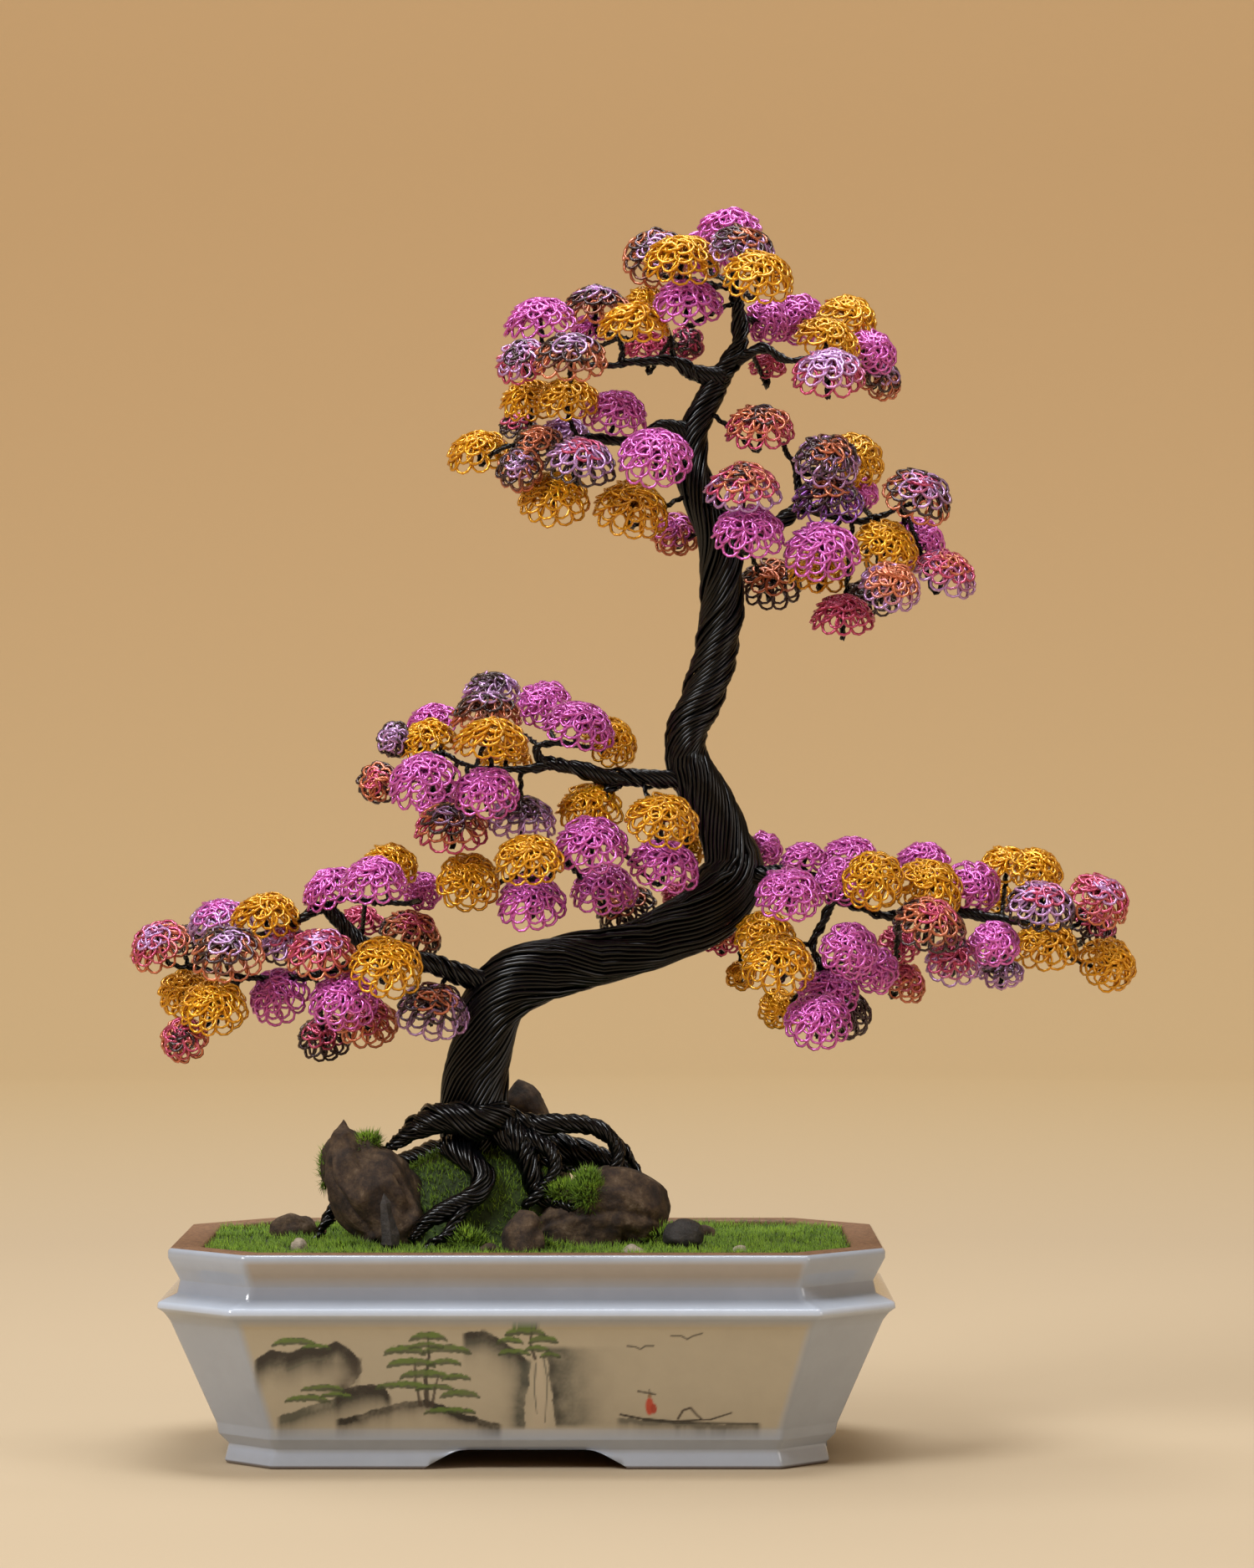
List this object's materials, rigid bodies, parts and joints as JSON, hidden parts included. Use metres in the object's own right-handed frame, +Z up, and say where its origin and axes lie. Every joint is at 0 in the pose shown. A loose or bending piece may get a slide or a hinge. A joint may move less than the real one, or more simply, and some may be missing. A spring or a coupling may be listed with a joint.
{
  "type": "wire tree sculpture",
  "caption": "Bonsai tree of twisted black wire with pads of coloured wire loops, in a glazed octagonal pot with moss and rocks.",
  "frame": {"origin": "middle of the whole work's footprint, on the table under the pot's feet", "axes": "+Z up along the tree, +X to the right of the painted front, +Y away from the viewer"},
  "size_m": [0.3734, 0.1656, 0.4641],
  "materials": {
    "pot_glaze": "glossy pale blue-grey glaze on stoneware, a landscape painted under it in front, bare brown clay on the rim and the foot",
    "moss": "bright green model moss, short fibres",
    "black_wire": "black enamelled wire, twisted in bundles, semi-gloss",
    "gold_wire": "gold coloured enamelled wire loops, glossy",
    "orchid_wire": "orchid purple enamelled wire loops, glossy",
    "variegated_wire": "enamelled wire that changes between lilac, rose, copper and dark brown along its length",
    "brown_rock": "rough brown rock",
    "dark_slate": "dark grey slate, split",
    "light_pebble": "pale water-worn pebble"
  },
  "bodies": {
    "root": {"pot": "pot_glaze", "ground": "moss", "trunk": "black_wire", "branch_crown_right": "black_wire", "branch_crown_left": "black_wire", "branch_upper_left": "black_wire", "branch_upper_right": "black_wire", "branch_mid_left": "black_wire", "branch_low_left": "black_wire", "branch_low_right": "black_wire", "rock_left_horned": "brown_rock", "rock_right": "brown_rock", "rock_back_tall": "brown_rock", "stone_front": "brown_rock", "shard_slate": "dark_slate", "stone_flat_left": "brown_rock", "pebble_left": "light_pebble", "pebble_dark": "dark_slate", "pebble_light_right": "light_pebble", "stone_flat_right": "brown_rock", "stone_brown_small": "brown_rock", "spray_crown_top": "orchid_wire", "spray_crown_middle": "orchid_wire", "spray_crown_right_upper": "gold_wire", "spray_crown_right_lower": "variegated_wire", "spray_crown_left_upper": "orchid_wire", "spray_crown_left_lower": "variegated_wire", "spray_upper_left_top": "gold_wire", "spray_upper_left_tip": "variegated_wire", "spray_upper_left_middle": "variegated_wire", "spray_upper_left_inner": "gold_wire", "spray_upper_right_crown": "variegated_wire", "spray_upper_right_inner": "variegated_wire", "spray_upper_right_top": "variegated_wire", "spray_upper_right_front": "orchid_wire", "spray_upper_right_tip": "orchid_wire", "spray_upper_right_low": "variegated_wire", "spray_mid_left_top": "orchid_wire", "spray_mid_left_tip_upper": "orchid_wire", "spray_mid_left_tip_lower": "orchid_wire", "spray_mid_left_middle": "gold_wire", "spray_mid_left_under": "variegated_wire", "spray_mid_left_centre": "gold_wire", "spray_mid_left_small": "gold_wire", "spray_mid_left_inner": "orchid_wire", "spray_mid_left_trunk": "gold_wire", "spray_low_left_top": "gold_wire", "spray_low_left_inner": "gold_wire", "spray_low_left_outer_top": "gold_wire", "spray_low_left_tip": "gold_wire", "spray_low_left_middle": "variegated_wire", "spray_low_left_front": "orchid_wire", "spray_low_right_top": "orchid_wire", "spray_low_right_inner": "gold_wire", "spray_low_right_hanging": "orchid_wire", "spray_low_right_middle": "orchid_wire", "spray_low_right_centre": "gold_wire", "spray_low_right_lower": "variegated_wire", "spray_low_right_outer": "gold_wire", "spray_low_right_tip": "gold_wire"}
  },
  "joints": []
}
